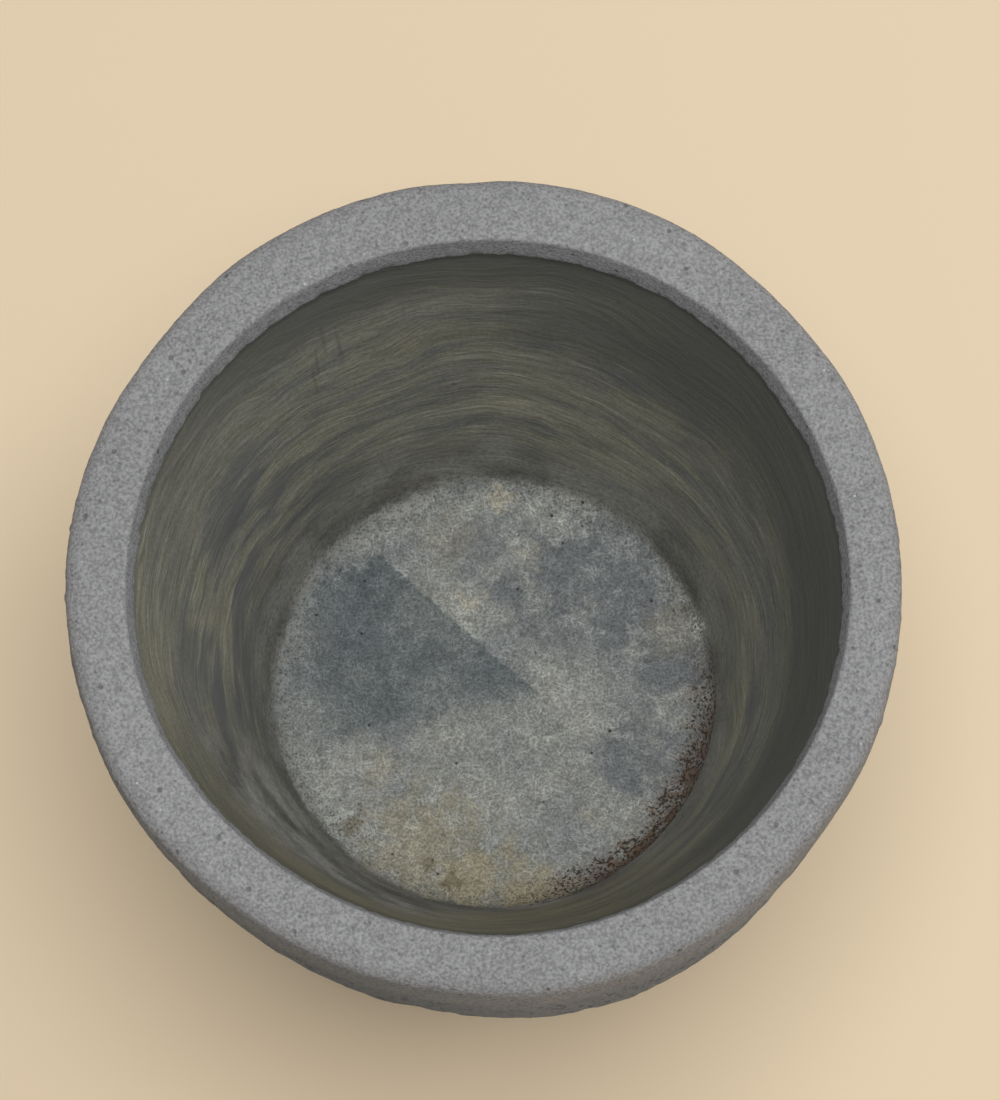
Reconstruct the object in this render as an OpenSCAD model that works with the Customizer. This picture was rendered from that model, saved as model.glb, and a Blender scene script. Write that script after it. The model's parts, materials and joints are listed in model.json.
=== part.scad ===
// Molcajete: a deep stone mortar on three stub legs, carved from one block, and its
// loose stone pestle. The origin is on the mortar's axis, on the surface it stands on.

/* [Mortar] */
// Outer diameter of the bowl at its widest ring, just below the rim
bowl_d = 200; // [190:1:230]
// Height from the standing surface to the flat rim
mortar_h = 173; // [168:1:190]
// Radius that rounds the outer edge of the rim
rim_round = 4.5; // [2:0.5:7]
// Distance from the rim down to the widest ring
widest_drop = 10; // [9:1:20]
// Diameter of the flat underside between the legs
underside_d = 96; // [80:1:110]

/* [Hollow] */
// Inner diameter at the bottom edge of the rough lip
lip_d = 168.8; // [150:0.2:169]
// How far the lip band leans in from the rim to its bottom edge
lip_lean = 1.5; // [0.5:0.1:2.5]
// Height of the rough lip band
lip_h = 6.5; // [3:0.5:12]
// How far the worn wall is ground back behind the lip's bottom edge
lip_undercut = 0.6; // [0.2:0.1:1]
// Depth of the hollow below the rim, at the foot of the wall
hollow_depth = 120; // [100:1:122]
// Diameter of the worn floor
floor_d = 118; // [100:1:124]
// Radius of the curve between the wall and the floor
floor_round = 9; // [4:1:14]
// How much lower the middle of the floor is than its edge
floor_dish = 2.5; // [0.5:0.5:4]

/* [Legs] */
// Height of the flat underside above the standing surface
leg_h = 24; // [20:1:30]
// Distance of each foot's middle from the mortar's axis
leg_reach = 58; // [52:1:64]
// How far each leg leans in from its foot to the bowl, in degrees
leg_lean = 8; // [0:1:12]
// Diameter of a leg at the standing surface
foot_d = 32; // [26:1:36]
// Diameter of a leg at its top, inside the bowl's thick base
leg_top_d = 48; // [38:1:50]

/* [Pestle] */
// Length of the pestle
pestle_l = 165; // [150:1:190]
// Diameter of the grinding end
grind_d = 56; // [46:1:60]
// Diameter of the gripped knob
knob_d = 42; // [38:1:44]
// Diameter of the waist between them
waist_d = 36; // [30:1:37]
// Gap between the bowl's widest ring and the pestle that lies in front of it
pestle_gap = 24; // [10:1:60]

/* [Hidden] */

stone_colour = [0.50, 0.50, 0.51];
pestle_colour = [0.45, 0.45, 0.46];

bowl_r = bowl_d / 2;
underside_r = underside_d / 2;
lip_r = lip_d / 2;
floor_r = floor_d / 2;
foot_r = foot_d / 2;
leg_top_r = leg_top_d / 2;
grind_r = grind_d / 2;
knob_r = knob_d / 2;
waist_r = waist_d / 2;

// Heights above the standing surface
widest_z = mortar_h - widest_drop;
lip_z = mortar_h - lip_h;
floor_z = mortar_h - hollow_depth;

// How far the outer wall swells from the rim's edge down to the widest ring
rim_swell = 0.5;

// The worn wall starts a little below the lip's edge, and runs straight to the floor
wall_top_r = lip_r + lip_undercut;
wall_top_z = lip_z - 2 * lip_undercut;
wall_lean = atan((wall_top_r - floor_r) / (wall_top_z - floor_z));
// Centre of the curve that joins the wall to the floor
floor_curve_r = floor_r - floor_round * tan((90 - wall_lean) / 2);
floor_curve_z = floor_z + floor_round;

legs = 3;
back_leg_angle = 90;
// The legs end inside the base, this far under the lowest point of the floor
leg_cover = 5;
leg_top_z = floor_z - floor_dish - leg_cover;

// The pestle lies on its two round ends, so its axis tips down towards the knob
knob_at = pestle_l - knob_r;
ends_apart = knob_at - grind_r;
pestle_tip = asin((grind_r - knob_r) / ends_apart);
pestle_x = (grind_r - knob_r - ends_apart * cos(pestle_tip)) / 2;
pestle_y = -bowl_r - pestle_gap - grind_r;
// The waist's narrowest place, measured from the grinding end
waist_at = 0.70 * pestle_l;
// Where the neck runs on to the knob's ball, in degrees below the ball's middle
neck_angle = 20;

// A point at radius r and angle a about a centre
function turn(centre, r, a) = centre + r * [cos(a), sin(a)];

// Points of an arc in n steps from angle a to angle b, without the last point
function arc(centre, r, a, b, n) = [for (i = [0 : n - 1]) turn(centre, r, a + (b - a) * i / n)];

// The floor from the axis out to the curve, dished a little
function dished_floor(n) = [
    for (i = [0 : n - 1])
        let (r = floor_curve_r * i / n)
        [r, floor_z - floor_dish * (1 - pow(r / floor_curve_r, 2))]
];

// The outer wall, a quarter of an ellipse from the widest ring in to the underside
function outer_wall(n) = [
    for (i = [0 : n])
        let (a = 90 * i / n)
        [underside_r + (bowl_r - underside_r) * cos(a), widest_z - (widest_z - leg_h) * sin(a)]
];

// The bowl's half section: the hollow, the lip, the rim, the outer wall, the underside
function bowl_section() = concat(
    dished_floor(10),
    arc([floor_curve_r, floor_curve_z], floor_round, -90, -wall_lean, 8),
    [
        turn([floor_curve_r, floor_curve_z], floor_round, -wall_lean),
        [wall_top_r, wall_top_z],
        [lip_r, lip_z],
        [lip_r + lip_lean, mortar_h]
    ],
    arc([bowl_r - rim_swell - rim_round, mortar_h - rim_round], rim_round, 90, 0, 8),
    [[bowl_r - rim_swell, mortar_h - rim_round]],
    outer_wall(24),
    [[0, leg_h]]
);

module bowl() {
    rotate_extrude($fn = 180)
        polygon(bowl_section());
}

// A leg's half section: it starts below the standing surface and flares up to its top
function leg_section(n) = concat(
    [[0, -foot_r], [foot_r, -foot_r]],
    [for (i = [0 : n]) [foot_r + (leg_top_r - foot_r) * pow(i / n, 1.5), leg_top_z * i / n]],
    [[0, leg_top_z]]
);

// One leg, leaning in towards the bowl and cut flat at the standing surface
module leg(angle) {
    rotate([0, 0, angle])
        translate([leg_reach, 0, 0])
            intersection() {
                rotate([0, -leg_lean, 0])
                    rotate_extrude($fn = 64)
                        polygon(leg_section(6));
                translate([-leg_top_d, -leg_top_d, 0])
                    cube([2 * leg_top_d, 2 * leg_top_d, leg_top_z]);
            }
}

module mortar() {
    color(stone_colour)
        union() {
            bowl();
            for (i = [0 : legs - 1])
                leg(back_leg_angle + i * 360 / legs);
        }
}

// Points of a curve from a to d in n steps, pulled towards b and c, without the last point
function curve(a, b, c, d, n) = [
    for (i = [0 : n - 1])
        let (t = i / n, u = 1 - t)
        u * u * u * a + 3 * u * u * t * b + 3 * u * t * t * c + t * t * t * d
];

// The pestle's half section: two balls, with the waist drawn smoothly between them. It
// leaves the grinding ball along the line that touches both balls, so it rests on them.
function pestle_section() =
    let (
        grind_end = turn([0, grind_r], grind_r, pestle_tip),
        waist = [waist_r, waist_at],
        knob_start = turn([0, knob_at], knob_r, -neck_angle),
        body_pull = (waist_at - grind_r) / 2.4,
        neck_pull = (knob_at - waist_at) / 3.5
    )
    concat(
        arc([0, grind_r], grind_r, -90, pestle_tip, 15),
        curve(grind_end, grind_end + body_pull * [-sin(pestle_tip), cos(pestle_tip)],
            waist - [0, body_pull], waist, 14),
        curve(waist, waist + [0, neck_pull],
            knob_start - neck_pull * [sin(neck_angle), cos(neck_angle)], knob_start, 6),
        arc([0, knob_at], knob_r, -neck_angle, pestle_tip, 6),
        arc([0, knob_at], knob_r, pestle_tip, 90, 12),
        [[0, pestle_l]]
    );

module pestle() {
    color(pestle_colour)
        translate([pestle_x, pestle_y, grind_r])
            rotate([0, 90 + pestle_tip, 0])
                translate([0, 0, -grind_r])
                    rotate_extrude($fn = 96)
                        polygon(pestle_section());
}

mortar();
pestle();
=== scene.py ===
import json
import math

import bpy
import numpy as np
from mathutils import Matrix, Vector


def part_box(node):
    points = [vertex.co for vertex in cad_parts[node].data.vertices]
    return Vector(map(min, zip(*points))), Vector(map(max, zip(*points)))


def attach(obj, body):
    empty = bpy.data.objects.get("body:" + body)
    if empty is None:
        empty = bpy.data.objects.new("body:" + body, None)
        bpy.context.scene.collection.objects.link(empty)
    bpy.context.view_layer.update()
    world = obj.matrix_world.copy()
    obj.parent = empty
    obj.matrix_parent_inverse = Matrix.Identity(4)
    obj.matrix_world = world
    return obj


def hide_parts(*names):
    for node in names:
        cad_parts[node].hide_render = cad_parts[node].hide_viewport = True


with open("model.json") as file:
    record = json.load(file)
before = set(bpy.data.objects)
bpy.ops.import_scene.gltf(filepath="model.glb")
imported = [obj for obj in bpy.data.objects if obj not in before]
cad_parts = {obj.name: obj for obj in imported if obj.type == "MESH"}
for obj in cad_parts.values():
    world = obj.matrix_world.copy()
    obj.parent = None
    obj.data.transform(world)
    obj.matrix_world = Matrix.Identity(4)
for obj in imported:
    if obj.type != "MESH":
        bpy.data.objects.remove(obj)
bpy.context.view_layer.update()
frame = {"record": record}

# ---------------------------------------------------------------- sizes, in metres
MM = 0.001
mortar_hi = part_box("mortar")[1]
pestle_lo, pestle_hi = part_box("pestle")
MOUNTS = {m["name"]: Vector(m["pos_m"]) for m in frame["record"]["mounts"]}

# The bowl's section, as the frame has it
RIM_Z = mortar_hi.z
BOWL_R = mortar_hi.x
WIDEST_Z = RIM_Z - 10 * MM
RIM_ROUND = 4.5 * MM
RIM_SWELL = 0.5 * MM
LIP_R = 84.4 * MM
LIP_Z = RIM_Z - 6.5 * MM
LIP_LEAN = 1.5 * MM
UNDERCUT = 0.6 * MM
FLOOR_R = 59 * MM
FLOOR_Z = RIM_Z - 120 * MM
FLOOR_ROUND = 9 * MM
FLOOR_DISH = 2.5 * MM
UNDERSIDE_R = 48 * MM
UNDERSIDE_Z = 24 * MM

# The legs
FOOT_R = 16 * MM
LEG_TOP_R = 24 * MM
LEG_TOP_Z = 45.5 * MM
LEG_LEAN = math.radians(8)

# The pestle: two balls on one line, and the waist between them
GRIND_R = (pestle_hi.z - pestle_lo.z) / 2
KNOB_R = 21 * MM
WAIST_R = 18 * MM
PESTLE_L = 165 * MM
# Where the neck runs on to the knob's ball, in degrees below the ball's middle
NECK_ANGLE = 20

# How many faces go round the bowl. The lip and the rim have twice as many.
SEGMENTS = 400
# Rings nearer the axis than this have fewer faces, but no ring is halved again below the least
HALVED_INSIDE = 18 * MM
LEAST_FACES = 26
# How many faces go round the pestle
PESTLE_SEGMENTS = 192
# The underside is measured along this many steps of the outer wall
WALL_STEPS = 200


# ---------------------------------------------------------------- noise, for the carving
def hash01(cell, seed):
    """A fixed number from 0 to 1 for each whole-number cell."""
    x, y, z = cell[..., 0], cell[..., 1], cell[..., 2]
    h = (x * 374761393 + y * 668265263 + z * 1103515245 + seed * 1274126177) & 0xFFFFFFFF
    h = ((h ^ (h >> 13)) * 1274126177) & 0xFFFFFFFF
    h = ((h ^ (h >> 16)) * 461845907) & 0xFFFFFFFF
    return (h ^ (h >> 15)) / 2**32


def smooth_noise(points, size, seed):
    """Rolling noise from -1 to 1, with bumps about one size across."""
    q = points / size
    cell = np.floor(q).astype(np.int64)
    f = q - cell
    f = f * f * f * (f * (6 * f - 15) + 10)
    total = np.zeros(len(points))
    for corner in np.ndindex(2, 2, 2):
        weight = np.prod(np.where(corner, f, 1 - f), axis=1)
        total += weight * hash01(cell + corner, seed)
    return 2 * total - 1


def layered_noise(points, size, seed, layers=3, fall=0.5):
    """Noise in layers, each half the size and a part of the height of the last."""
    total = np.zeros(len(points))
    height, whole = 1.0, 0.0
    for layer in range(layers):
        total += height * smooth_noise(points, size / 2**layer, seed + layer)
        whole += height
        height *= fall
    return total / whole


def pits(points, size, seed, chance, smallest, largest):
    """How deep each point lies in scattered round pits, from 0 to 1 at a large pit's middle."""
    q = points / size
    cell = np.floor(q).astype(np.int64)
    depth = np.zeros(len(points))
    for step in np.ndindex(3, 3, 3):
        near = cell + np.array(step) - 1
        middle = near + np.stack([hash01(near, seed + k) for k in (1, 2, 3)], axis=1)
        radius = smallest + (largest - smallest) * hash01(near, seed + 4) ** 2
        there = hash01(near, seed + 5) < chance
        away = np.linalg.norm((q - middle) * size, axis=1) / radius
        dent = np.clip(1 - away**2, 0, 1) ** 0.8 * (radius / largest) * there
        depth = np.maximum(depth, dent)
    return depth


def smooth_step(a, b, x):
    t = np.clip((x - a) / (b - a), 0, 1)
    return t * t * (3 - 2 * t)


# ---------------------------------------------------------------- the bowl's section
def steps(length, spacing):
    return max(1, round(length / spacing))


def between(a, b, spacing):
    """Points from a to b, without b."""
    n = steps(math.dist(a, b), spacing)
    return [(a[0] + (b[0] - a[0]) * i / n, a[1] + (b[1] - a[1]) * i / n) for i in range(n)]


def arc(centre, radius, first, last, spacing):
    """Points of an arc between two angles in degrees, without the last one."""
    first, last = math.radians(first), math.radians(last)
    n = steps(abs(last - first) * radius, spacing)
    angles = [first + (last - first) * i / n for i in range(n)]
    return [(centre[0] + radius * math.cos(a), centre[1] + radius * math.sin(a)) for a in angles]


def bezier(a, b, c, d, n):
    """Points of a curve from a to d, pulled towards b and c, without the last one."""
    a, b, c, d = map(np.array, (a, b, c, d))
    t = (np.arange(n) / n)[:, None]
    u = 1 - t
    return [tuple(p) for p in u**3 * a + 3 * u * u * t * b + 3 * u * t * t * c + t**3 * d]


def outer_wall(t):
    """The outer wall's quarter ellipse: t is 0 at the widest ring and 1 at the underside."""
    a = math.pi / 2 * t
    return (
        UNDERSIDE_R + (BOWL_R - UNDERSIDE_R) * math.cos(a),
        WIDEST_Z - (WIDEST_Z - UNDERSIDE_Z) * math.sin(a),
    )


def underside_path():
    """The outside from the axis out and up to the widest ring, as (distance along, r, z)."""
    rows = [(0.0, 0.0, UNDERSIDE_Z), (UNDERSIDE_R, UNDERSIDE_R, UNDERSIDE_Z)]
    for i in reversed(range(WALL_STEPS)):
        r, z = outer_wall(i / WALL_STEPS)
        along = rows[-1][0] + math.dist(rows[-1][1:], (r, z))
        rows.append((along, r, z))
    return np.array(rows)


UNDER = underside_path()
# The legs are shaped on the part of the outside that is nearer the axis than this
LEG_REGION = 104 * MM


def hollow_section():
    """The hollow as (r, z): the floor and its curve, then the wall up to the lip's edge."""
    wall_top = (LIP_R + UNDERCUT, LIP_Z - 2 * UNDERCUT)
    lean = math.degrees(math.atan2(wall_top[0] - FLOOR_R, wall_top[1] - FLOOR_Z))
    curve_r = FLOOR_R - FLOOR_ROUND * math.tan(math.radians(90 - lean) / 2)
    curve = (curve_r, FLOOR_Z + FLOOR_ROUND)
    n = steps(curve_r, 1.5 * MM)
    floor = [(curve_r * i / n, FLOOR_Z - FLOOR_DISH * (1 - (i / n) ** 2)) for i in range(n)]
    bend = arc(curve, FLOOR_ROUND, -90, -lean, 1.1 * MM)
    angle = math.radians(-lean)
    wall_foot = (
        curve[0] + FLOOR_ROUND * math.cos(angle),
        curve[1] + FLOOR_ROUND * math.sin(angle),
    )
    wall = between(wall_foot, wall_top, 2.3 * MM)
    return floor + bend, wall + between(wall_top, (LIP_R, LIP_Z), 0.7 * MM)


def rim_section():
    """The rough lip, its soft crease, the flat rim, and the rounded edge to the widest ring."""
    crease = (LIP_R + LIP_LEAN, RIM_Z)
    lip_top = (LIP_R + 0.78 * LIP_LEAN, RIM_Z - 1.6 * MM)
    rim_start = (crease[0] + 1.8 * MM, RIM_Z)
    edge = (BOWL_R - RIM_SWELL - RIM_ROUND, RIM_Z - RIM_ROUND)
    edge_foot = (BOWL_R - RIM_SWELL, RIM_Z - RIM_ROUND)
    return (
        between((LIP_R, LIP_Z), lip_top, 0.8 * MM)
        + bezier(lip_top, crease, crease, rim_start, 5)
        + between(rim_start, (edge[0], RIM_Z), 0.8 * MM)
        + arc(edge, RIM_ROUND, 90, 0, 0.9 * MM)
        + between(edge_foot, (BOWL_R, WIDEST_Z), 1.3 * MM)
    )


def outside_distances():
    """Distances from the axis along the outside, from the widest ring in to the axis."""
    whole = UNDER[-1, 0]
    upper = steps(whole - LEG_REGION, 2.8 * MM)
    lower = steps(LEG_REGION, 1.6 * MM)
    first = [whole + (LEG_REGION - whole) * i / upper for i in range(upper)]
    return first + [LEG_REGION * (1 - i / lower) for i in range(lower)]


# ---------------------------------------------------------------- the legs
FEET = [MOUNTS[name] for name in ("foot_back", "foot_left", "foot_right")]
# A leg is drawn out of a round patch of the underside. These are the patch's rings: the
# foot's flat end, then the leg's side, then the bowl's own surface that leads up to it.
FOOT_PATCH = 10 * MM
SIDE_PATCH = 30 * MM
WHOLE_PATCH = 44 * MM


def outside_at(distance):
    """Radius and height of the outside at a distance along it from the axis."""
    return np.interp(distance, UNDER[:, 0], UNDER[:, 1]), np.interp(distance, UNDER[:, 0], UNDER[:, 2])


def distance_at(radius):
    return np.interp(radius, UNDER[:, 1], UNDER[:, 0])


def leg_side(foot, direction, z):
    """A point on the leg's side, at a height, in a direction from the leg's own middle."""
    inward = -foot.xy.normalized()
    middle = np.array(foot.xy) + np.outer(z * math.tan(LEG_LEAN), np.array(inward))
    radius = FOOT_R + (LEG_TOP_R - FOOT_R) * np.clip(z / LEG_TOP_Z, 0, 1) ** 1.5
    radius = radius / math.cos(LEG_LEAN)
    return middle + radius[:, None] * np.stack([np.cos(direction), np.sin(direction)], axis=1)


def leg_seam(foot, directions):
    """Height at which the leg's side meets the bowl, in each direction round the leg."""
    seam = np.full(len(directions), UNDERSIDE_Z)
    found = np.zeros(len(directions), bool)
    for z in np.arange(10 * MM, 70 * MM, 0.2 * MM):
        spot = leg_side(foot, directions, np.full(len(directions), z))
        bowl_z = outside_at(distance_at(np.linalg.norm(spot, axis=1)))[1]
        new = (z >= bowl_z) & ~found
        seam[new] = z
        found |= new
    return seam


def leg_part(foot, direction, away, seam_z):
    """The foot's flat end and the leg's side, by the distance out from the patch's middle."""
    t = (away - FOOT_PATCH) / (SIDE_PATCH - FOOT_PATCH)
    z = seam_z * (smooth_step(0, 1, t) * 0.3 + 0.7 * np.clip(t, 0, 1))
    middle = np.array(foot.xy)
    bottom = middle + (away / FOOT_PATCH)[:, None] * (leg_side(foot, direction, 0 * z) - middle)
    on_foot = away < FOOT_PATCH
    flat = np.where(on_foot[:, None], bottom, leg_side(foot, direction, z))
    return np.column_stack([flat, np.where(on_foot, 0, z)])


def skirt_part(foot, direction, away, seam_z, centre):
    """The bowl's own surface, from the leg's seam out to the patch's edge."""
    seam = leg_side(foot, direction, seam_z)
    length = np.linalg.norm(seam, axis=1)
    seam_flat = seam / length[:, None] * distance_at(length)[:, None]
    ray = np.stack([np.cos(direction), np.sin(direction)], axis=1)
    edge_flat = centre + WHOLE_PATCH * ray
    t = np.clip((away - SIDE_PATCH) / (WHOLE_PATCH - SIDE_PATCH), 0, 1)[:, None]
    mixed = seam_flat * (1 - t) + edge_flat * t
    distance = np.linalg.norm(mixed, axis=1)
    r, z = outside_at(distance)
    return np.column_stack([mixed / distance[:, None] * r[:, None], z])


def draw_legs(flat):
    """Places of the outside's points, from their places on the unrolled underside."""
    distance = np.linalg.norm(flat, axis=1)
    unit = flat / np.maximum(distance, 1e-9)[:, None]
    radius, height = outside_at(distance)
    placed = np.column_stack([unit * radius[:, None], height])
    near_seam = np.zeros(len(flat))
    near_foot = np.zeros(len(flat))
    for foot in FEET:
        centre = np.array(foot.xy.normalized()) * distance_at(foot.xy.length)
        offset = flat - centre
        away = np.linalg.norm(offset, axis=1)
        inside = np.flatnonzero(away < WHOLE_PATCH)
        direction = np.arctan2(offset[inside, 1], offset[inside, 0])
        away = away[inside]
        seam_z = leg_seam(foot, direction)
        leg = leg_part(foot, direction, away, seam_z)
        skirt = skirt_part(foot, direction, away, seam_z, centre)
        placed[inside] = np.where((away < SIDE_PATCH)[:, None], leg, skirt)
        near_seam[inside] = 1 - smooth_step(2 * MM, 9 * MM, np.abs(away - SIDE_PATCH))
        near_foot[inside] = 1 - smooth_step(0, 2.5 * MM, np.abs(away - FOOT_PATCH))
    return placed, np.maximum(near_seam, 0.6 * near_foot)


# ---------------------------------------------------------------- mesh building
def join_rings(first, n_first, second, n_second):
    """Faces between two rings of vertices, where one may have half as many as the other."""
    faces = []
    if n_first == n_second:
        for i in range(n_first):
            k = (i + 1) % n_first
            faces.append((first + i, first + k, second + k, second + i))
        return faces
    if n_second * 2 == n_first:
        for i in range(n_second):
            k = (i + 1) % n_second
            a, b, c = first + 2 * i, first + 2 * i + 1, first + (2 * i + 2) % n_first
            faces += [(a, b, second + i), (b, second + k, second + i), (b, c, second + k)]
        return faces
    for i in range(n_first):
        k = (i + 1) % n_first
        a, b, c = second + 2 * i, second + 2 * i + 1, second + (2 * i + 2) % n_second
        faces += [(first + i, b, a), (first + i, first + k, b), (first + k, c, b)]
    return faces


def ring_counts(radii, fine):
    """How many vertices each ring has: fewer near the axis, and twice as many where fine."""
    counts = []
    for r, is_fine in zip(radii, fine):
        n = SEGMENTS * 2 if is_fine else SEGMENTS
        while n > LEAST_FACES and n * HALVED_INSIDE > SEGMENTS * max(r, MM):
            n //= 2
        if counts:
            n = min(max(n, counts[-1] // 2), counts[-1] * 2)
        counts.append(n)
    return counts


def ring_points(n):
    angle = np.arange(n) * 2 * math.pi / n
    return np.stack([np.cos(angle), np.sin(angle)], axis=1)


def mesh_object(name, points, faces):
    mesh = bpy.data.meshes.new(name)
    mesh.from_pydata(points.tolist(), [], faces)
    mesh.polygons.foreach_set("use_smooth", [True] * len(mesh.polygons))
    mesh.update()
    made = bpy.data.objects.new(name, mesh)
    bpy.context.scene.collection.objects.link(made)
    return made


def edge_array(mesh):
    edges = np.zeros(len(mesh.edges) * 2, np.int64)
    mesh.edges.foreach_get("vertices", edges)
    return edges.reshape(-1, 2)


def relax(points, edges, weight, rounds):
    """Moves each point towards the middle of its neighbours, as far as its weight says."""
    number = len(points)
    count = np.bincount(edges.ravel(), minlength=number)[:, None]
    for _ in range(rounds):
        total = np.zeros_like(points)
        for axis in range(3):
            total[:, axis] += np.bincount(edges[:, 0], points[edges[:, 1], axis], number)
            total[:, axis] += np.bincount(edges[:, 1], points[edges[:, 0], axis], number)
        points = points + 0.5 * weight[:, None] * (total / count - points)
    return points


def vertex_normals(mesh):
    normals = np.zeros(len(mesh.vertices) * 3, np.float32)
    mesh.vertex_normals.foreach_get("vector", normals)
    return normals.reshape(-1, 3).astype(float)


def set_points(mesh, points):
    mesh.vertices.foreach_set("co", points.astype(np.float32).ravel())
    mesh.update()


def store(mesh, name, values):
    layer = mesh.attributes.new(name, "FLOAT", "POINT")
    layer.data.foreach_set("value", np.asarray(values, np.float32))


# ---------------------------------------------------------------- the mortar
# Places where the tool took the outline back, or left it proud where the depth is less than
# nothing: direction and half width in degrees, and depth in millimetres
OUTLINE_FLATS = [
    (0, 75, 1.2),
    (42, 18, 0.8),
    (-42, 16, 0.8),
    (91, 8, 0.5),
    (140, 16, 0.8),
    (175, 24, -0.6),
    (-122, 34, 1.8),
    (-97, 14, 0.8),
]
# The one place where the mouth comes in, in the same terms
MOUTH_FLATS = [(-124, 52, 1.5)]


def flattened(flats, angle):
    """How far a list of flats takes an outline back, in millimetres, in each direction."""
    degrees = np.degrees(angle)
    total = np.zeros(len(angle))
    for middle, half, depth in flats:
        x = (degrees - middle + 180) % 360 - 180
        total += depth * np.clip(1 - (x / half) ** 2, 0, 1) ** 2
    return total


def outline_shift(angle):
    """How far the outer outline stands off the round, in each direction."""
    shift = 1.1 + np.sin(angle) - 0.6 * np.cos(2 * angle) - flattened(OUTLINE_FLATS, angle)
    return shift * MM


def mouth_shift(angle):
    """How far the mouth stands off the round: it is a little wider towards the front."""
    shift = 0.6 * np.cos(angle + math.radians(75)) + 0.12 * np.cos(5 * angle + 1)
    return (shift - flattened(MOUTH_FLATS, angle)) * MM


# Each vertex's part of the mortar, and each face's material
HOLLOW, RIM, OUTSIDE = 0, 1, 2
ROUGH, WORN_WALL, WORN_FLOOR = 0, 1, 2
# How often the creases round the legs are smoothed
RELAX_ROUNDS = 14


def mortar_points(above, in_hollow, outside, counts):
    """The vertices of all rings, with each one's part, and how near it is to a leg's seam."""
    starts = np.concatenate([[0], np.cumsum(counts)])
    points = np.zeros((starts[-1] + 1, 3))
    part = np.full(len(points), OUTSIDE)
    seam = np.zeros(len(points))
    for j, number in enumerate(counts):
        here = slice(starts[j], starts[j + 1])
        ring = ring_points(number)
        if j < len(above):
            r, z = above[j]
            points[here] = np.column_stack([ring * r, np.full(number, z)])
            part[here] = HOLLOW if j < in_hollow else RIM
        else:
            points[here], seam[here] = draw_legs(ring * outside[j - len(above)])
    points[-1] = (0, 0, UNDERSIDE_Z)
    return points, part, seam


def mortar_faces(in_floor, in_hollow, counts):
    """The faces between all rings, and each one's material."""
    starts = np.concatenate([[0], np.cumsum(counts)])
    n = counts[1]
    faces = [(0, 1 + i, 1 + (i + 1) % n) for i in range(n)]
    stone = [WORN_FLOOR] * n
    for j in range(1, len(counts) - 1):
        ring = join_rings(starts[j], counts[j], starts[j + 1], counts[j + 1])
        faces += [face[::-1] for face in ring]
        kind = WORN_FLOOR if j < in_floor else WORN_WALL if j < in_hollow else ROUGH
        stone += [kind] * len(ring)
    last, middle, n = starts[-2], starts[-1], counts[-1]
    faces += [(last + i, middle, last + (i + 1) % n) for i in range(n)]
    stone += [ROUGH] * n
    return faces, stone


def build_mortar():
    """The mortar: rings from the floor's middle up the wall, over the rim, and down under it."""
    floor, wall = hollow_section()
    above = floor + wall + rim_section()
    in_hollow = len(floor) + len(wall)
    outside = outside_distances()
    radii = [p[0] for p in above] + list(outside_at(np.array(outside))[0])
    fine = [in_hollow <= i < len(above) for i in range(len(radii))]
    counts = ring_counts(radii, fine)
    counts[0] = 1

    points, part, seam = mortar_points(above, in_hollow, outside, counts)
    faces, stone = mortar_faces(len(floor), in_hollow, counts)
    made = mesh_object("mortar_stone", points, faces)
    made.data.polygons.foreach_set("material_index", stone)
    points = relax(points, edge_array(made.data), seam, RELAX_ROUNDS)
    points = hew(points, part)
    set_points(made.data, points)
    points = weather(points, vertex_normals(made.data), part)
    set_points(made.data, points)
    return made


def hew(points, part):
    """The uneven outline that a hand-held tool leaves, on the outside and at the mouth."""
    angle = np.arctan2(points[:, 1], points[:, 0])
    radius = np.hypot(points[:, 0], points[:, 1])
    height = points[:, 2]
    outer = outline_shift(angle) * (0.25 + 0.75 * smooth_step(40 * MM, 120 * MM, height))
    inner = mouth_shift(angle) * smooth_step(FLOOR_Z, LIP_Z, height)
    across = smooth_step(LIP_R + LIP_LEAN, BOWL_R - RIM_ROUND, radius)
    on_rim = inner + (outer - inner) * across
    shift = np.where(part == HOLLOW, inner, np.where(part == RIM, on_rim, outer))
    shift = shift * smooth_step(0, 30 * MM, radius)
    unit = np.stack([np.cos(angle), np.sin(angle)], axis=1)
    moved = points.copy()
    moved[:, :2] += unit * shift[:, None]
    return moved


def lip_chips(points, part):
    """How far small chips take the lip's bottom edge back."""
    near_edge = np.clip(1 - np.abs(points[:, 2] - LIP_Z) / (1.6 * MM), 0, 1) * (part != OUTSIDE)
    stretched = points * np.array([1, 1, 0.2])
    large = np.clip(smooth_noise(stretched, 3.4 * MM, seed=77) - 0.25, 0, 1)
    small = np.clip(smooth_noise(stretched, 1.6 * MM, seed=78), 0, 1)
    return MM * (0.8 * large + 0.35 * small) * near_edge


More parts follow.
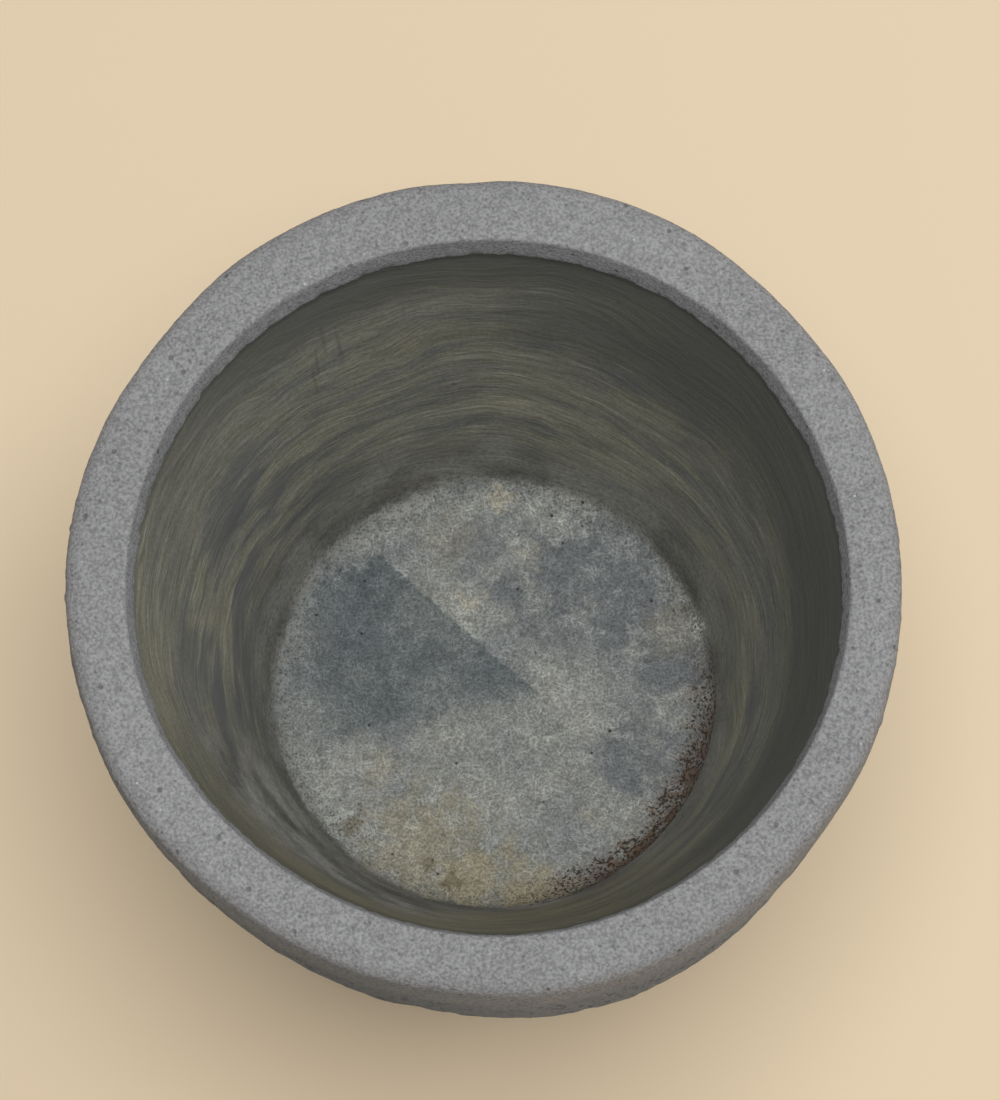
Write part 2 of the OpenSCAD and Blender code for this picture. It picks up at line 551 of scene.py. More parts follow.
def weather(points, normals, part):
    """Rolling tool marks, grain and pits on the rough stone, and faint wear in the hollow.

    The marks' heights are in millimetres.
    """
    height = points[:, 2]
    standing = smooth_step(1 * MM, 5 * MM, height)
    # The rim was dressed finer than the wall below it
    coarse = smooth_step(RIM_Z - 10 * MM, RIM_Z - 34 * MM, height)

    rolling = 0.65 * layered_noise(points, 30 * MM, seed=11, layers=2)
    pecked = 0.55 * layered_noise(points, 8 * MM, seed=21, layers=2)
    grain = 0.13 * layered_noise(points, 1.8 * MM, seed=31, layers=2, fall=0.7)
    holes = pits(points, 6.0 * MM, seed=41, chance=0.75, smallest=1.4 * MM, largest=3.0 * MM)
    outside = rolling * (0.14 + 0.86 * coarse) + pecked * (0.12 + 0.88 * coarse) + grain
    outside -= holes * (0.10 + 0.8 * coarse)

    # In the hollow, low ripples run round the wall
    ripples = 0.22 * layered_noise(points * np.array([1, 1, 5]), 42 * MM, seed=51, layers=2)
    wear = ripples + 0.05 * layered_noise(points, 5 * MM, seed=61, layers=2)
    shift = np.where(part == HOLLOW, wear, outside * (0.15 + 0.85 * standing)) * MM
    moved = points + normals * shift[:, None]

    radius = np.hypot(moved[:, 0], moved[:, 1])
    moved[:, :2] *= (1 + lip_chips(points, part) / np.maximum(radius, MM))[:, None]
    moved[:, 2] = np.maximum(moved[:, 2], 0)
    return moved


# ---------------------------------------------------------------- the pestle
def pestle_section(knob_at, tip):
    """The pestle's half section as (r, distance from the grinding end), along its axis."""
    neck = math.radians(NECK_ANGLE)
    waist_at = 0.70 * PESTLE_L
    grind_end = (GRIND_R * math.cos(tip), GRIND_R + GRIND_R * math.sin(tip))
    knob_start = (KNOB_R * math.cos(neck), knob_at - KNOB_R * math.sin(neck))
    body_pull = (waist_at - GRIND_R) / 2.4
    neck_pull = (knob_at - waist_at) / 3.5
    body_turn = (grind_end[0] - body_pull * math.sin(tip), grind_end[1] + body_pull * math.cos(tip))
    neck_turn = (knob_start[0] - neck_pull * math.sin(neck), knob_start[1] - neck_pull * math.cos(neck))
    waist = (WAIST_R, waist_at)
    return (
        arc((0, GRIND_R), GRIND_R, -90, math.degrees(tip), 1.0 * MM)
        + bezier(grind_end, body_turn, (WAIST_R, waist_at - body_pull), waist, 80)
        + bezier(waist, (WAIST_R, waist_at + neck_pull), neck_turn, knob_start, 22)
        + arc((0, knob_at), KNOB_R, -NECK_ANGLE, 90, 1.0 * MM)
    )


def turned(start, along, length, section):
    """The points and faces of a section turned about a line."""
    number = PESTLE_SEGMENTS
    across = Vector((0, 1, 0))
    up = across.cross(along)
    ring = ring_points(number)
    spread = ring[:, :1] * np.array(across) + ring[:, 1:] * np.array(up)
    line = np.array(along)
    rings = [start + line * at + spread * r for r, at in section[1:]]
    points = np.concatenate([start[None], *rings, (start + line * length)[None]])

    faces = [(1 + i, 1 + (i + 1) % number, 0) for i in range(number)]
    for j in range(len(rings) - 1):
        faces += [f[::-1] for f in join_rings(1 + j * number, number, 1 + (j + 1) * number, number)]
    last = 1 + (len(rings) - 1) * number
    faces += [(len(points) - 1, last + (i + 1) % number, last + i) for i in range(number)]
    return points, faces


def build_pestle():
    """The pestle, lying on its two balls, with its grinding end to the left."""
    middle_y = (pestle_lo.y + pestle_hi.y) / 2
    grind = Vector((pestle_lo.x + GRIND_R, middle_y, GRIND_R))
    knob = Vector((pestle_hi.x - KNOB_R, middle_y, KNOB_R))
    along = (knob - grind).normalized()
    knob_at = GRIND_R + (knob - grind).length
    section = pestle_section(knob_at, math.asin((GRIND_R - KNOB_R) / (knob - grind).length))
    start = np.array(grind - along * GRIND_R)
    points, faces = turned(start, along, knob_at + KNOB_R, section)
    made = mesh_object("pestle_stone", points, faces)

    distance = (points - start) @ np.array(along)
    ragged = 5 * MM * smooth_noise(points, 18 * MM, seed=5)
    worn = 1 - smooth_step(10 * MM, 34 * MM, distance + ragged)
    points = peck_pestle(points, vertex_normals(made.data), worn)
    set_points(made.data, points)
    store(made.data, "worn", worn)
    return made


def peck_pestle(points, normals, worn):
    """Tool marks, grain and pits, weaker where the pestle is worn. Heights are in millimetres."""
    clear = smooth_step(0.2 * MM, 5 * MM, points[:, 2])
    rolling = 0.55 * layered_noise(points, 24 * MM, seed=81, layers=2) - 0.15
    pecked = 0.28 * layered_noise(points, 6 * MM, seed=91, layers=2)
    grain = 0.12 * layered_noise(points, 1.9 * MM, seed=101, layers=2, fall=0.7)
    holes = pits(points, 5.5 * MM, seed=111, chance=0.4, smallest=0.9 * MM, largest=1.9 * MM)
    shift = (rolling + (pecked + grain - 0.7 * holes) * (1 - 0.75 * worn)) * clear * MM
    moved = points + normals * shift[:, None]
    moved[:, 2] = np.maximum(moved[:, 2], 0)
    return moved


# ---------------------------------------------------------------- painting the stone
class Paint:
    """One material, and the shader nodes that make it up. Sizes are in metres."""

    def __init__(self, name):
        self.material = bpy.data.materials.new(name)
        self.material.use_nodes = True
        self.tree = self.material.node_tree
        self.shader = self.tree.nodes["Principled BSDF"]
        self.place = self.tree.nodes.new("ShaderNodeTexCoord").outputs["Object"]

    def node(self, kind, inputs, **settings):
        made = self.tree.nodes.new(kind)
        for name, value in settings.items():
            setattr(made, name, value)
        for name, value in inputs.items():
            self.feed(made.inputs[name], value)
        return made

    def feed(self, socket, value):
        if isinstance(value, bpy.types.NodeSocket):
            self.tree.links.new(value, socket)
        else:
            socket.default_value = value

    def maths(self, operation, *values):
        return self.node("ShaderNodeMath", dict(enumerate(values)), operation=operation).outputs[0]

    def folded(self, operation, values):
        total = values[0]
        for value in values[1:]:
            total = self.maths(operation, total, value)
        return total

    def add(self, *values):
        return self.folded("ADD", values)

    def times(self, *values):
        return self.folded("MULTIPLY", values)

    def most(self, *values):
        return self.folded("MAXIMUM", values)

    def axes(self):
        """The place's x, y and z."""
        parts = self.node("ShaderNodeSeparateXYZ", {"Vector": self.place}).outputs
        return parts[0], parts[1], parts[2]

    def radius(self):
        """The distance from the mortar's axis."""
        flat = self.stretched(1, 1, 0)
        return self.node("ShaderNodeVectorMath", {0: flat}, operation="LENGTH").outputs["Value"]

    def swing(self, angle, degrees):
        """How far an angle is from a direction, in radians. It isn't wrapped at the left."""
        return self.maths("ABSOLUTE", self.add(angle, -math.radians(degrees)))

    def attribute(self, name):
        return self.node("ShaderNodeAttribute", {}, attribute_name=name).outputs["Fac"]

    def stretched(self, x, y, z, place=None):
        inputs = {0: place or self.place, 1: (x, y, z)}
        return self.node("ShaderNodeVectorMath", inputs, operation="MULTIPLY").outputs[0]

    def noise(self, size, detail=2.0, rough=0.5, place=None):
        inputs = {"Vector": place or self.place, "Scale": 1 / size}
        inputs |= {"Detail": detail, "Roughness": rough}
        return self.node("ShaderNodeTexNoise", inputs).outputs["Fac"]

    def step(self, value, low, high, to_low=0.0, to_high=1.0):
        """A soft step from one value to another, as the input goes from low to high."""
        inputs = {"Value": value, "From Min": low, "From Max": high}
        inputs |= {"To Min": to_low, "To Max": to_high}
        made = self.node("ShaderNodeMapRange", inputs, interpolation_type="SMOOTHSTEP")
        return made.outputs["Result"]

    def dots(self, size, radius, chance, place=None):
        """Scattered soft dots: a cell of this size holds one with the given chance."""
        inputs = {"Vector": place or self.place, "Scale": 1 / size}
        cells = self.node("ShaderNodeTexVoronoi", inputs)
        pick = self.node("ShaderNodeSeparateColor", {"Color": cells.outputs["Color"]}).outputs[0]
        there = self.maths("LESS_THAN", pick, chance)
        return self.times(there, self.step(cells.outputs["Distance"], radius, radius * 0.5))

    def mix(self, factor, a, b, blend="MIX"):
        made = self.tree.nodes.new("ShaderNodeMix")
        made.data_type = "RGBA"
        made.blend_type = blend
        self.feed(made.inputs[0], factor)
        for socket, value in zip((made.inputs[6], made.inputs[7]), (a, b)):
            whole = value if isinstance(value, bpy.types.NodeSocket) else (*value, 1)
            self.feed(socket, whole)
        return made.outputs[2]

    def tinted(self, factor, colour, tint):
        """The colour, multiplied by a tint as far as the factor says."""
        return self.mix(factor, colour, self.mix(1.0, colour, tint, "MULTIPLY"))

    def scaled(self, colour, amount):
        inputs = {0: colour, "Scale": amount}
        return self.node("ShaderNodeVectorMath", inputs, operation="SCALE").outputs[0]

    def bump(self, height_mm):
        made = self.node("ShaderNodeBump", {"Height": height_mm, "Distance": MM, "Strength": 1.0})
        return made.outputs["Normal"]

    def finish(self, colour, roughness, height_mm):
        self.feed(self.shader.inputs["Base Color"], colour)
        self.feed(self.shader.inputs["Roughness"], roughness)
        self.feed(self.shader.inputs["Normal"], self.bump(height_mm))
        self.shader.inputs["Specular IOR Level"].default_value = 0.35
        return self.material


# Colours of the stones, as linear red, green and blue
BASALT = (0.273, 0.274, 0.278)
PESTLE_BASALT = (0.225, 0.226, 0.230)
WORN_BASALT = (0.33, 0.325, 0.30)
GLINT = (0.60, 0.60, 0.59)
FOOT_GREY = (0.215, 0.212, 0.195)
OLIVE, PALE_OLIVE = (0.262, 0.261, 0.212), (0.305, 0.293, 0.226)
# The third colour on the next line is painted shade, for the dark band under the lip
STREAK, SMEAR, UNDER_LIP_SHADE = (0.155, 0.163, 0.165), (0.130, 0.137, 0.140), (0.104, 0.107, 0.098)
SCORE, WALL_SPECK = (0.05, 0.05, 0.045), (0.09, 0.08, 0.065)
FLOOR_COOL, FLOOR_PALE = (0.25, 0.266, 0.262), (0.335, 0.342, 0.315)
CLOUD_PALE, CLOUD_DARK = (0.38, 0.385, 0.365), (0.172, 0.184, 0.19)
WARM, CREAM, OLIVE_SPOT = (0.36, 0.325, 0.225), (0.50, 0.47, 0.37), (0.15, 0.13, 0.08)
PALE_EDGE, WHITE = (0.38, 0.385, 0.36), (0.6, 0.6, 0.58)
RUST, RUSTY_PIT = (0.15, 0.095, 0.062), (0.045, 0.028, 0.02)
EDGE_PIT, LONELY_PIT = (0.07, 0.066, 0.058), (0.03, 0.028, 0.025)

# Tints, which multiply the colour under them
COOL_TINT = (0.80, 0.85, 0.92)
# The next tint is painted shade, for the outside below the rim
UNDER_RIM_SHADE_TINT = (0.62, 0.65, 0.68)
BROWN_TINT = (0.84, 0.79, 0.66)
WEDGE_TINT = (0.56, 0.60, 0.64)


def bubble_holes(paint):
    """Dark holes of two sizes, pushed out of round."""
    wander_inputs = {"Vector": paint.place, "Scale": 1 / (1.6 * MM), "Detail": 0.0}
    wander = paint.node("ShaderNodeTexNoise", wander_inputs).outputs["Color"]
    push = {0: wander, 1: (2.2 * MM,) * 3, 2: paint.place}
    pushed = paint.node("ShaderNodeVectorMath", push, operation="MULTIPLY_ADD").outputs[0]
    wide = paint.dots(5 * MM, 0.24, 0.6, pushed)
    narrow = paint.dots(2.4 * MM, 0.30, 0.5, pushed)
    return paint.most(wide, narrow)


def rough_stone(paint, tint, pecked):
    """Colour and height of basalt: fine grains, dark pores, glints, and pecking where pecked."""
    grain = paint.noise(0.75 * MM, 1.0, 0.6)
    clumps = paint.noise(3.6 * MM, 1.0)
    broad = paint.noise(45 * MM, 1.0)
    level = paint.add(
        paint.step(grain, 0.25, 0.75, 0.74, 1.26),
        paint.step(clumps, 0.3, 0.7, -0.04, 0.04),
        paint.step(broad, 0.3, 0.7, -0.04, 0.04),
        paint.times(paint.dots(1.5 * MM, 0.36, 0.55), -0.20),
        paint.times(paint.dots(1.3 * MM, 0.34, 0.45), 0.17),
    )
    pores = paint.dots(3.4 * MM, 0.24, 0.15)
    bubbles = paint.times(bubble_holes(paint), pecked)
    glints = paint.dots(2.6 * MM, 0.14, 0.08)
    colour = paint.scaled(tint, level)
    colour = paint.mix(paint.times(pores, 0.6), colour, [0.30 * c for c in tint])
    colour = paint.mix(paint.times(bubbles, 0.62), colour, [0.25 * c for c in tint])
    colour = paint.mix(paint.times(glints, 0.75), colour, GLINT)
    height = paint.add(
        paint.times(grain, 0.17),
        paint.times(pores, -0.2),
        paint.times(clumps, pecked, 1.8),
        paint.times(bubbles, -1.0),
    )
    return colour, height


def wall_foot(paint):
    """The dark grainy stone where the wall meets the floor. Both paints fade into it."""
    grain = paint.noise(1.3 * MM, 2.0, 0.6)
    tone = paint.step(paint.noise(20 * MM, 2.0), 0.36, 0.64, 0.74, 1.38)
    speck = paint.step(grain, 0.25, 0.75, 0.72, 1.28)
    return paint.scaled(FOOT_GREY, paint.times(speck, tone))


# ---------------------------------------------------------------- the worn wall
# Short faint scores in the wall: direction in degrees, millimetres below the lip, and slope
SCORES = [(119.0, 20, 0.10), (121.5, 28, 0.16), (116.5, 25, 0.05), (123.0, 34, 0.12)]


def wall_scores(paint, angle, z):
    """A few short, steep, faint scores where something hard scraped the wall."""
    marks = []
    for degrees, depth, slope in SCORES:
        down = paint.add(z, depth * MM - LIP_Z)
        sideways = paint.times(paint.add(angle, -math.radians(degrees)), LIP_R)
        off = paint.maths("ABSOLUTE", paint.add(sideways, paint.times(down, slope)))
        across = paint.step(off, 0.9 * MM, 0.2 * MM)
        along = paint.step(paint.maths("ABSOLUTE", down), 10 * MM, 2 * MM, 0.0, 0.25)
        marks.append(paint.times(across, along))
    return paint.most(*marks)


def wall_bend(paint):
    """How far the lines that run round the wall wander up and down."""
    slow = paint.step(paint.noise(60 * MM, 1.0), 0.3, 0.7, -5 * MM, 5 * MM)
    quick = paint.step(paint.noise(9 * MM, 1.0), 0.3, 0.7, -0.4 * MM, 0.4 * MM)
    return paint.add(slow, quick)


def wall_run(paint, bend, slope_x=0.0, slope_y=0.0):
    """The place, with its height bent and sloped, so that stretched noise runs round the wall."""
    x, y, z = paint.axes()
    tall = paint.add(z, bend, paint.times(x, slope_x), paint.times(y, slope_y))
    return paint.node("ShaderNodeCombineXYZ", {"X": x, "Y": y, "Z": tall}).outputs[0]


def wall_streaks(paint, bend):
    """The olive wall, and the streaks that run round it. Also the height of the finer ones."""
    x, _, z = paint.axes()
    level, slant = wall_run(paint, bend), wall_run(paint, bend, 0.13, 0.09)
    broad = paint.noise(40 * MM, 4.0, 0.66, paint.stretched(1, 1, 4.5, level))
    fine = paint.noise(17 * MM, 3.0, 0.66, paint.stretched(1, 1, 8, slant))
    hair = paint.noise(9 * MM, 1.0, 0.6, paint.stretched(1, 1, 14, level))
    deep = paint.step(z, LIP_Z - 2 * MM, LIP_Z - 45 * MM, 0.35, 1.0)
    dark = paint.step(paint.add(broad, paint.times(fine, 0.5)), 0.68, 0.96, 0.0, 0.85)
    tone = paint.step(paint.noise(24 * MM, 1.0), 0.35, 0.65)
    olive = paint.mix(tone, OLIVE, PALE_OLIVE)
    # Painted shade: the olive is darker high on the wall and lighter deep down
    olive = paint.scaled(olive, paint.step(z, LIP_Z - 20 * MM, LIP_Z - 80 * MM, 0.92, 1.06))
    olive = paint.scaled(olive, paint.step(x, -30 * MM, -62 * MM, 1.0, 0.92))
    colour = paint.mix(paint.times(dark, deep), olive, STREAK)
    colour = paint.scaled(colour, paint.step(fine, 0.25, 0.75, 0.82, 1.18))
    colour = paint.scaled(colour, paint.step(hair, 0.25, 0.75, 0.84, 1.16))
    colour = paint.scaled(colour, paint.step(paint.noise(1.0 * MM, 1.0), 0.25, 0.75, 0.88, 1.12))

    # Wide dark smears low on the wall, strong to the left and weaker to the right
    smear = paint.noise(24 * MM, 2.0, 0.55, paint.stretched(1, 1, 3.2, slant))
    smeared = paint.times(
        paint.step(smear, 0.45, 0.60, 0.0, 0.7),
        paint.add(paint.step(x, -25 * MM, -52 * MM), paint.step(x, 25 * MM, 52 * MM, 0.0, 0.45)),
        paint.step(z, LIP_Z - 22 * MM, LIP_Z - 50 * MM),
    )
    colour = paint.mix(smeared, colour, SMEAR)

    # Thin pale lines, much longer than they are wide
    thin_place = paint.stretched(0.05, 0.05, 1, slant)
    thin = paint.step(paint.noise(0.75 * MM, 0.0, 0.5, thin_place), 0.60, 0.82, 0.0, 0.45)
    return paint.mix(thin, colour, paint.scaled(colour, 1.6)), fine


def painted_lip_shade(paint, colour, angle, bend):
    """Painted shade: a dark band under the lip, deep on the right and shallow over the far side and
    left.
    """
    z = paint.axes()[2]
    swing = paint.swing(angle, 8)
    right = paint.times(
        paint.step(swing, math.radians(104), math.radians(40)),
        paint.step(paint.add(z, bend), LIP_Z - 66 * MM, LIP_Z - 26 * MM),
    )
    top = paint.times(
        paint.step(swing, math.radians(172), math.radians(112)),
        paint.step(z, LIP_Z - 26 * MM, LIP_Z - 8 * MM, 0.0, 0.95),
    )
    return paint.mix(paint.times(paint.most(right, top), 0.88), colour, UNDER_LIP_SHADE)


def wall_front(paint, colour, angle, bend):
    """Brown in front, with blotched grey stone to the front left."""
    z = paint.axes()[2]
    front = paint.step(paint.swing(angle, -105), 1.3, 0.5)
    colour = paint.tinted(front, colour, BROWN_TINT)
    blotch = paint.noise(13 * MM, 3.0, 0.6)
    wandering = paint.add(z, bend, paint.times(blotch, 30 * MM))
    grey = paint.times(
        paint.step(paint.swing(angle, -132), 0.75, 0.25),
        paint.step(wandering, LIP_Z - 5 * MM, LIP_Z - 42 * MM),
    )
    blotched = paint.step(blotch, 0.36, 0.62, 0.72, 1.3)
    return paint.mix(grey, colour, paint.scaled(wall_foot(paint), blotched))


def paint_wall():
    """The ground wall: olive, with dark streaks that run round it, dark at its foot, and painted shade
    high up and under the lip.
    """
    paint = Paint("mortar_wall")
    x, y, z = paint.axes()
    angle = paint.maths("ARCTAN2", y, x)
    bend = wall_bend(paint)
    colour, streaks = wall_streaks(paint, bend)
    # Painted shade under the lip
    colour = painted_lip_shade(paint, colour, angle, bend)
    colour = wall_front(paint, colour, angle, bend)
    colour = paint.mix(wall_scores(paint, angle, z), colour, SCORE)
    low = paint.step(z, FLOOR_Z + 13 * MM, FLOOR_Z + 8 * MM)
    foot = paint.step(paint.add(z, bend), FLOOR_Z + 32 * MM, FLOOR_Z + 11 * MM, 0.0, 0.8)
    colour = paint.mix(paint.most(low, foot), colour, wall_foot(paint))
    colour = paint.mix(paint.times(paint.dots(7 * MM, 0.09, 0.12), 0.5), colour, WALL_SPECK)
    return paint.finish(colour, 0.68, paint.times(streaks, 0.35))


# ---------------------------------------------------------------- the worn floor
# Marks on the floor: where each is, in millimetres from the axis, how wide, and how strong
DARK_CLOUDS = [(21, 32, 18, 0.9), (38, 24, 16, 0.9), (48, 6, 15, 0.85), (38, -20, 13, 0.8)]
DARK_CLOUDS += [(-32, 40, 13, 0.45), (-47, 12, 9, 0.4), (0, 45, 10, 0.4), (22, -32, 12, 0.35)]
WARM_STAINS = [(-20, -42, 17, 0.65), (-8, -52, 14, 0.9), (8, -57, 12, 0.95), (-31, -20, 6, 0.4)]
WARM_STAINS += [(50, 16, 7, 0.3), (-12, 44, 8, 0.3)]
CREAM_SPOTS = [(4, 55, 3.2, 0.8), (-6, 26, 4.2, 0.6), (10, 39, 3.6, 0.45), (26, -36, 3, 0.4)]
OLIVE_SPOTS = [(-21, -46, 2.6, 0.6), (-12.5, -52, 2.6, 0.7), (-40.5, -34.5, 3, 0.6)]
OLIVE_SPOTS += [(-2, -56, 2.2, 0.5)]
PIT_CLUSTERS = [(-43, -33, 5, 1.0), (-36, -40, 5, 0.9), (-52, 14, 4, 0.6)]
WHITE_SPECKLE = [(57, 15, 3.2, 1.0), (48, -30, 3, 0.4)]
PALE_CLOUDS = [(24, -3, 13, 0.5), (12, -30, 13, 0.45), (24, -41, 9, 0.4), (-36, -28, 12, 0.4)]


def spots(paint, marks, ragged, raggedness=0.9):
    """One mask for a list of round marks with ragged edges."""
    place = paint.stretched(1, 1, 0)
    masks = []
    for x, y, radius, strength in marks:
        spot_place = {0: place, 1: (x * MM, y * MM, 0)}
        away = paint.node("ShaderNodeVectorMath", spot_place, operation="DISTANCE").outputs["Value"]
        away = paint.add(away, paint.times(ragged, radius * raggedness * MM))
        masks.append(paint.step(away, 1.3 * radius * MM, 0.3 * radius * MM, 0.0, strength))
    return paint.most(*masks)


def floor_scratches(paint, x, y):
    """A tangle of fine pale scratches: the worn marks of many grindings."""
    bend = paint.step(paint.noise(7 * MM, 0.0), 0.3, 0.7, -0.9 * MM, 0.9 * MM)
    lines = []
    for turn in (12, 58, 101, 149):
        c, s = math.cos(math.radians(turn)), math.sin(math.radians(turn))
        along = paint.times(paint.add(paint.times(x, c), paint.times(y, s)), 0.08)
        across = paint.add(paint.times(x, -s), paint.times(y, c), bend, turn * MM)
        line_place = paint.node("ShaderNodeCombineXYZ", {"X": along, "Y": across, "Z": 0.0}).outputs[0]
        lines.append(paint.step(paint.noise(0.36 * MM, 0.0, 0.5, line_place), 0.58, 0.76))
    return paint.most(*lines)


def floor_stains(paint, ragged):
    """The floor's own colour, with its clouds, stains and spots."""
    broad = paint.noise(24 * MM, 2.0, 0.6)
    colour = paint.mix(paint.step(broad, 0.35, 0.65), FLOOR_COOL, FLOOR_PALE)
    colour = paint.mix(spots(paint, PALE_CLOUDS, ragged), colour, CLOUD_PALE)
    colour = paint.mix(spots(paint, DARK_CLOUDS, ragged, 0.45), colour, CLOUD_DARK)
    colour = paint.mix(spots(paint, WARM_STAINS, ragged, 0.4), colour, WARM)
    colour = paint.mix(spots(paint, CREAM_SPOTS, ragged), colour, CREAM)
    return paint.mix(spots(paint, OLIVE_SPOTS, ragged), colour, OLIVE_SPOT)


def floor_wedge(paint, x, y, mottle, ragged):
    """The dark wedge: a sharp edge that runs down to its point, and a ragged lower edge."""
    waver = paint.times(mottle, 1.2 * MM)
    sharp = paint.add(paint.times(x, 0.694), paint.times(y, 0.720), waver)
    lower = paint.add(y, paint.times(x, -0.25), paint.times(ragged, 3 * MM))
    upper = paint.add(y, paint.times(x, -0.4), paint.times(ragged, 2 * MM))
    return paint.times(
        paint.step(sharp, 9.6 * MM, 8.6 * MM),
        paint.step(lower, -8 * MM, 4 * MM),
        paint.step(paint.add(x, paint.times(ragged, 5 * MM)), -58 * MM, -38 * MM, 0.4, 1.0),
        paint.step(upper, 57 * MM, 50 * MM),
    )


def floor_edge(paint, colour, radius, angle, mottle, ragged):
    """Pale on the left of the edge, rusty on the right, and the wall's dark foot beyond."""
    z = paint.axes()[2]
    ring = paint.step(paint.add(radius, paint.times(ragged, 2.5 * MM)), 51 * MM, 58 * MM)
    rusty = paint.times(ring, paint.step(paint.swing(angle, -40), math.radians(62), math.radians(10)))
    leftness = paint.maths("COSINE", paint.add(angle, math.radians(-150)))
    pale = paint.times(
        paint.step(radius, 55 * MM, 57.5 * MM),
        paint.step(leftness, 0.3, 0.9, 0.0, 0.5),
        paint.step(mottle, 0.35, 0.6),
    )
    colour = paint.mix(pale, colour, PALE_EDGE)
    height = paint.add(z, paint.times(ragged, 1.2 * MM))
    foot = paint.step(height, FLOOR_Z + 3.2 * MM, FLOOR_Z + 5.2 * MM)
    colour = paint.mix(foot, colour, wall_foot(paint))
    stain = paint.times(rusty, paint.step(mottle, 0.30, 0.60, 0.2, 0.95))
    return paint.mix(stain, colour, RUST), rusty


def floor_pits(paint, colour, radius, rusty, grain, ragged):
    """Pits: crowded along the rusty edge, fewer in clusters, and lonely ones all over."""
    small = paint.dots(0.95 * MM, 0.5, 0.6)
    large = paint.dots(1.9 * MM, 0.32, 0.5)
    crumbs = paint.step(paint.add(paint.noise(0.9 * MM, 2.0, 0.6), paint.times(rusty, 0.09)), 0.61, 0.67)
    crowded = paint.times(paint.most(crumbs, large), paint.step(rusty, 0.02, 0.5), 0.9)
    colour = paint.mix(crowded, colour, RUSTY_PIT)
    speckle = paint.step(radius, 50 * MM, 57 * MM, 0.0, 0.7)
    clusters = paint.most(spots(paint, PIT_CLUSTERS, ragged), speckle)
    colour = paint.mix(paint.times(small, clusters, 0.7), colour, EDGE_PIT)
    white = paint.times(paint.step(grain, 0.50, 0.62), spots(paint, WHITE_SPECKLE, ragged, 0.5))
    colour = paint.mix(white, colour, WHITE)
    colour = paint.mix(paint.times(paint.dots(6 * MM, 0.11, 0.5), 0.9), colour, LONELY_PIT)
    return colour, crowded


def paint_floor():
    """The pale floor, with its wedge, clouds, stains, scratches and pitted edge."""
    paint = Paint("mortar_floor")
    x, y, _ = paint.axes()
    ragged = paint.step(paint.noise(6 * MM, 3.0, 0.65), 0.3, 0.7, -1.0, 1.0)
    mottle = paint.noise(3.5 * MM, 2.0, 0.7)
    grain = paint.noise(0.7 * MM, 1.0, 0.6)

    colour = floor_stains(paint, ragged)
    colour = paint.tinted(floor_wedge(paint, x, y, mottle, ragged), colour, WEDGE_TINT)
    colour = paint.scaled(colour, paint.step(mottle, 0.3, 0.7, 0.82, 1.06))
    colour = paint.scaled(colour, paint.step(grain, 0.25, 0.75, 0.66, 1.22))
    worn = paint.step(ragged, -0.9, 0.9, 0.2, 0.52)
    scratched = paint.times(floor_scratches(paint, x, y), worn)
    colour = paint.mix(scratched, colour, paint.scaled(colour, 2.1))

    radius = paint.radius()
    angle = paint.maths("ARCTAN2", y, x)
    colour, rusty = floor_edge(paint, colour, radius, angle, mottle, ragged)
    colour, crowded = floor_pits(paint, colour, radius, rusty, grain, ragged)
    height = paint.add(paint.times(grain, 0.14), paint.times(crowded, -0.35))
    return paint.finish(colour, 0.80, height)


# ---------------------------------------------------------------- the rough outside and the pestle
def paint_rough():
    """The rim, the lip and the outside: finer at the rim, pecked and darker below it, with painted shade
    under the rim at the front and left.
    """
    paint = Paint("mortar_stone")
    x, y, z = paint.axes()
    pecked = paint.step(z, RIM_Z - 8 * MM, RIM_Z - 26 * MM)
    colour, height = rough_stone(paint, BASALT, pecked)
    colour = paint.tinted(pecked, colour, COOL_TINT)

    # Painted shade on the outside below the rim, strongest at the front and to the left
    rounding = paint.times(
        paint.step(z, RIM_Z - 1.2 * MM, RIM_Z - 3.6 * MM),
        paint.step(paint.radius(), 90 * MM, 94 * MM),
    )
    below = paint.most(rounding, paint.step(z, LIP_Z - 1 * MM, LIP_Z - 3 * MM))
    front_left = paint.add(paint.times(x, -0.8), paint.times(y, -0.6))
    shade_weight = paint.step(front_left, 45 * MM, 92 * MM, 0.1, 1.0)
    colour = paint.tinted(paint.times(below, shade_weight), colour, UNDER_RIM_SHADE_TINT)
    return paint.finish(colour, 0.92, height)


def paint_pestle():
    """The pestle: pecked all over, and ground pale and smooth at its large end."""
    paint = Paint("pestle_stone")
    worn = paint.attribute("worn")
    pecked = paint.step(worn, 0, 1, 0.7, 0)
    colour, height = rough_stone(paint, PESTLE_BASALT, pecked)
    wear = paint.step(paint.noise(2.2 * MM, 2.0, 0.65), 0.3, 0.7, 0.8, 1.2)
    colour = paint.mix(paint.times(worn, 0.8), colour, paint.scaled(WORN_BASALT, wear))
    roughness = paint.step(worn, 0, 1, 0.92, 0.75)
    return paint.finish(colour, roughness, paint.times(height, paint.step(worn, 0, 1, 1.0, 0.4)))


def fit_piece(piece, materials, name):
    for material in materials:
        piece.data.materials.append(material)
    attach(piece, name)
    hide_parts(name)


# ---------------------------------------------------------------- the set
# The camera looks down at the rim's middle, tilted from straight down and rolled a little
TILT = math.radians(16.0)
ROLL = math.radians(2.28)
AWAY = 758.3 * MM
ASIDE = -3.2 * MM
BELOW = 6.0 * MM
LENS_MM = 104.7
SENSOR_MM = 36
GROUND_REACH = 12.0
GROUND = (0.92, 0.745, 0.52, 1)
SKY = 0.34


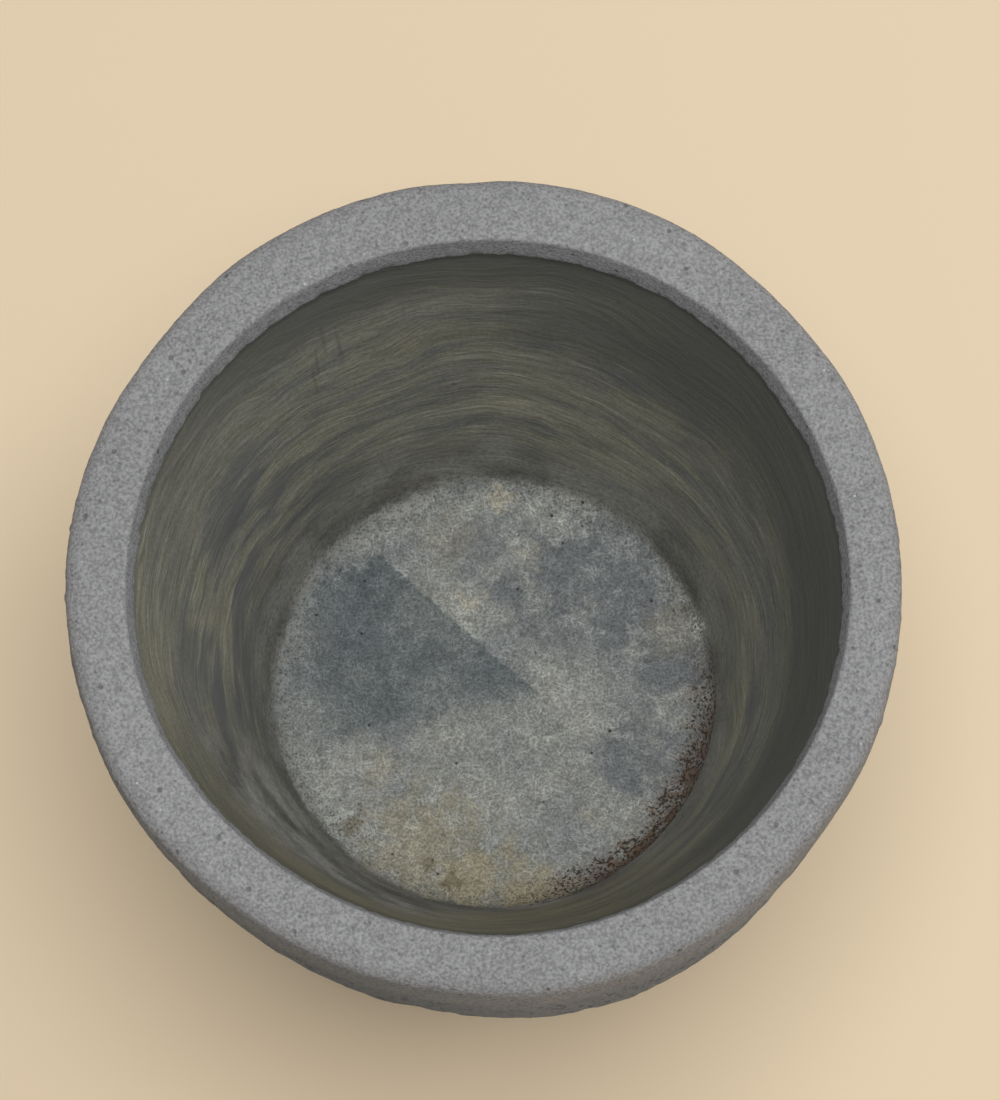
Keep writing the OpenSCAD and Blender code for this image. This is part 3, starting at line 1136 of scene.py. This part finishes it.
def add_camera():
    """The photo's view. The rim's middle is a little off the middle of the picture."""
    forward = Vector((0, math.sin(TILT), -math.cos(TILT)))
    right = Vector((1, 0, 0))
    down = forward.cross(right)
    side = math.cos(ROLL) * right + math.sin(ROLL) * down
    below = -math.sin(ROLL) * right + math.cos(ROLL) * down
    place = Vector((0, 0, RIM_Z)) - side * ASIDE - below * BELOW - forward * AWAY
    data = bpy.data.cameras.new("camera")
    data.sensor_width = SENSOR_MM
    data.lens = LENS_MM
    data.clip_start, data.clip_end = 0.01, 20
    camera = bpy.data.objects.new("camera", data)
    camera.matrix_world = Matrix((
        (side.x, -below.x, -forward.x, place.x),
        (side.y, -below.y, -forward.y, place.y),
        (side.z, -below.z, -forward.z, place.z),
        (0, 0, 0, 1),
    ))
    bpy.context.scene.collection.objects.link(camera)
    bpy.context.scene.camera = camera


def add_floor():
    far = GROUND_REACH
    corners = np.array([(-far, -far, 0), (far, -far, 0), (far, far, 0), (-far, far, 0)])
    floor = mesh_object("floor", corners, [(0, 1, 2, 3)])
    paint = Paint("floor")
    paint.shader.inputs["Base Color"].default_value = GROUND
    paint.shader.inputs["Roughness"].default_value = 0.9
    floor.data.materials.append(paint.material)


def softbox(name, place, size, power):
    """A round soft light that faces the rim's middle. Its power is in watts."""
    data = bpy.data.lights.new(name, "AREA")
    data.shape = "DISK"
    data.size = size
    data.energy = power
    lamp = bpy.data.objects.new(name, data)
    lamp.location = place
    lamp.rotation_mode = "QUATERNION"
    lamp.rotation_quaternion = (Vector((0, 0, RIM_Z)) - lamp.location).to_track_quat("-Z", "Y")
    bpy.context.scene.collection.objects.link(lamp)


def add_lights():
    world = bpy.data.worlds.new("studio")
    world.use_nodes = True
    sky = world.node_tree.nodes["Background"]
    sky.inputs["Color"].default_value = (1.0, 1.0, 1.0, 1)
    sky.inputs["Strength"].default_value = SKY
    bpy.context.scene.world = world
    softbox("overhead", (0.09, -0.10, 1.6), size=0.9, power=12.5)
    softbox("side", (1.30, 0.25, 0.95), size=0.7, power=3.6)


fit_piece(build_mortar(), [paint_rough(), paint_wall(), paint_floor()], "mortar")
fit_piece(build_pestle(), [paint_pestle()], "pestle")
bpy.context.scene.view_settings.view_transform = "Standard"
add_camera()
add_floor()
add_lights()
